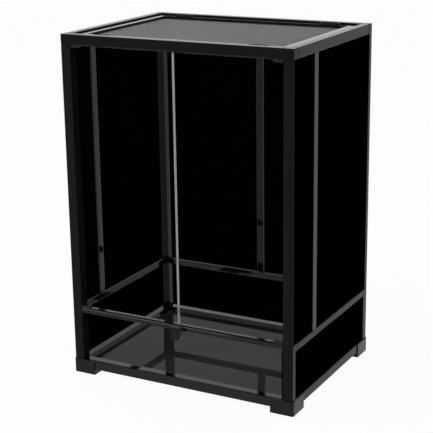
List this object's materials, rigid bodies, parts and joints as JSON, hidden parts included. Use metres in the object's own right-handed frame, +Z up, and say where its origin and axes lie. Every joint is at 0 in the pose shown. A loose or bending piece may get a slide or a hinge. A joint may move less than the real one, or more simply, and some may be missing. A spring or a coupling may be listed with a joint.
{
  "type": "glass terrarium",
  "caption": "Tall front-opening glass terrarium: tube frame on corner feet, pivoting glass doors with a cam lock, a fixed lower window and a lift-out mesh top held by sliding catches.",
  "frame": {"origin": "on the floor plane under the feet, below the middle of the overall box, which the lock at the front makes 14 mm deeper than the feet", "axes": "+Z up; the doors face -Y; +X is the right of a viewer who looks at the doors"},
  "size_m": [0.605, 0.4694, 0.85],
  "materials": {
    "black_aluminium": "satin black anodised",
    "black_plastic": "satin moulded",
    "smoked_glass": "near-opaque black smoked float glass",
    "clear_glass": "clear float glass with polished edges",
    "floor_glass": "dark glossy glass",
    "dark_wire": "black coated woven wire",
    "plated_steel": "dull plated"
  },
  "bodies": {
    "cabinet": {"post_front_left": "black_aluminium", "post_front_right": "black_aluminium", "post_back_left": "black_aluminium", "post_back_right": "black_aluminium", "corner_top_front_left": "black_plastic", "corner_top_front_right": "black_plastic", "corner_top_back_left": "black_plastic", "corner_top_back_right": "black_plastic", "rail_top_front": "black_aluminium", "rail_top_back": "black_aluminium", "rail_top_left": "black_aluminium", "rail_top_right": "black_aluminium", "rail_bottom_front": "black_aluminium", "rail_bottom_back": "black_aluminium", "rail_bottom_left": "black_aluminium", "rail_bottom_right": "black_aluminium", "rail_middle_back": "black_aluminium", "rail_middle_left": "black_aluminium", "rail_middle_right": "black_aluminium", "door_bar": "black_aluminium", "mullion_left": "black_aluminium", "mullion_right": "black_aluminium", "mullion_back": "black_aluminium", "foot_front_left": "black_plastic", "foot_front_right": "black_plastic", "foot_back_left": "black_plastic", "foot_back_right": "black_plastic", "pane_left_upper_front": "smoked_glass", "pane_left_upper_rear": "smoked_glass", "pane_left_lower": "smoked_glass", "pane_right_upper_front": "smoked_glass", "pane_right_upper_rear": "smoked_glass", "pane_right_lower": "smoked_glass", "pane_back_upper_left": "smoked_glass", "pane_back_upper_right": "smoked_glass", "pane_back_lower": "smoked_glass", "floor_pane": "floor_glass", "window_front_lower": "clear_glass", "lock_housing": "black_plastic"},
    "left_door": {"door_left_glass": "clear_glass", "door_left_pivot_bottom": "black_plastic", "door_left_pivot_top": "black_plastic"},
    "right_door": {"door_right_glass": "clear_glass", "door_right_pivot_bottom": "black_plastic", "door_right_pivot_top": "black_plastic"},
    "lock_barrel": {"lock_cylinder": "plated_steel"},
    "lock_bolt": {"lock_bolt": "plated_steel"},
    "lid": {"screen_frame": "black_plastic", "screen_mesh": "dark_wire", "mesh_retainer": "black_plastic"},
    "catch_front_left": {"catch_front_left": "black_plastic"},
    "catch_front_right": {"catch_front_right": "black_plastic"},
    "catch_back_left": {"catch_back_left": "black_plastic"},
    "catch_back_right": {"catch_back_right": "black_plastic"}
  },
  "joints": [
    {"name": "left_door_hinge", "type": "hinge", "parent": "cabinet", "child": "left_door", "pos_m": [-0.265, -0.2133, 0.172], "axis": [0, 0, -1], "range_deg": [0, 110]},
    {"name": "right_door_hinge", "type": "hinge", "parent": "cabinet", "child": "right_door", "pos_m": [0.265, -0.2133, 0.172], "axis": [0, 0, 1], "range_deg": [0, 110]},
    {"name": "lock_turn", "type": "hinge", "parent": "cabinet", "child": "lock_barrel", "pos_m": [0, -0.2341, 0.1576], "axis": [0, -1, 0], "range_deg": [0, 90]},
    {"name": "bolt_lift", "type": "slide", "parent": "cabinet", "child": "lock_bolt", "axis": [0, 0, 1], "range_m": [0, 0.0092]},
    {"name": "lid_lift", "type": "slide", "parent": "cabinet", "child": "lid", "axis": [0, 0, 1], "range_m": [0, 0.12]},
    {"name": "catch_front_left_slide", "type": "slide", "parent": "lid", "child": "catch_front_left", "axis": [0, -1, 0], "range_m": [0, 0.005]},
    {"name": "catch_front_right_slide", "type": "slide", "parent": "lid", "child": "catch_front_right", "axis": [0, -1, 0], "range_m": [0, 0.005]},
    {"name": "catch_back_left_slide", "type": "slide", "parent": "lid", "child": "catch_back_left", "axis": [0, 1, 0], "range_m": [0, 0.005]},
    {"name": "catch_back_right_slide", "type": "slide", "parent": "lid", "child": "catch_back_right", "axis": [0, 1, 0], "range_m": [0, 0.005]}
  ],
  "couplings": [
    {"joint": "bolt_lift", "follows": "lock_turn", "m_per_rad": 0.005762}
  ]
}
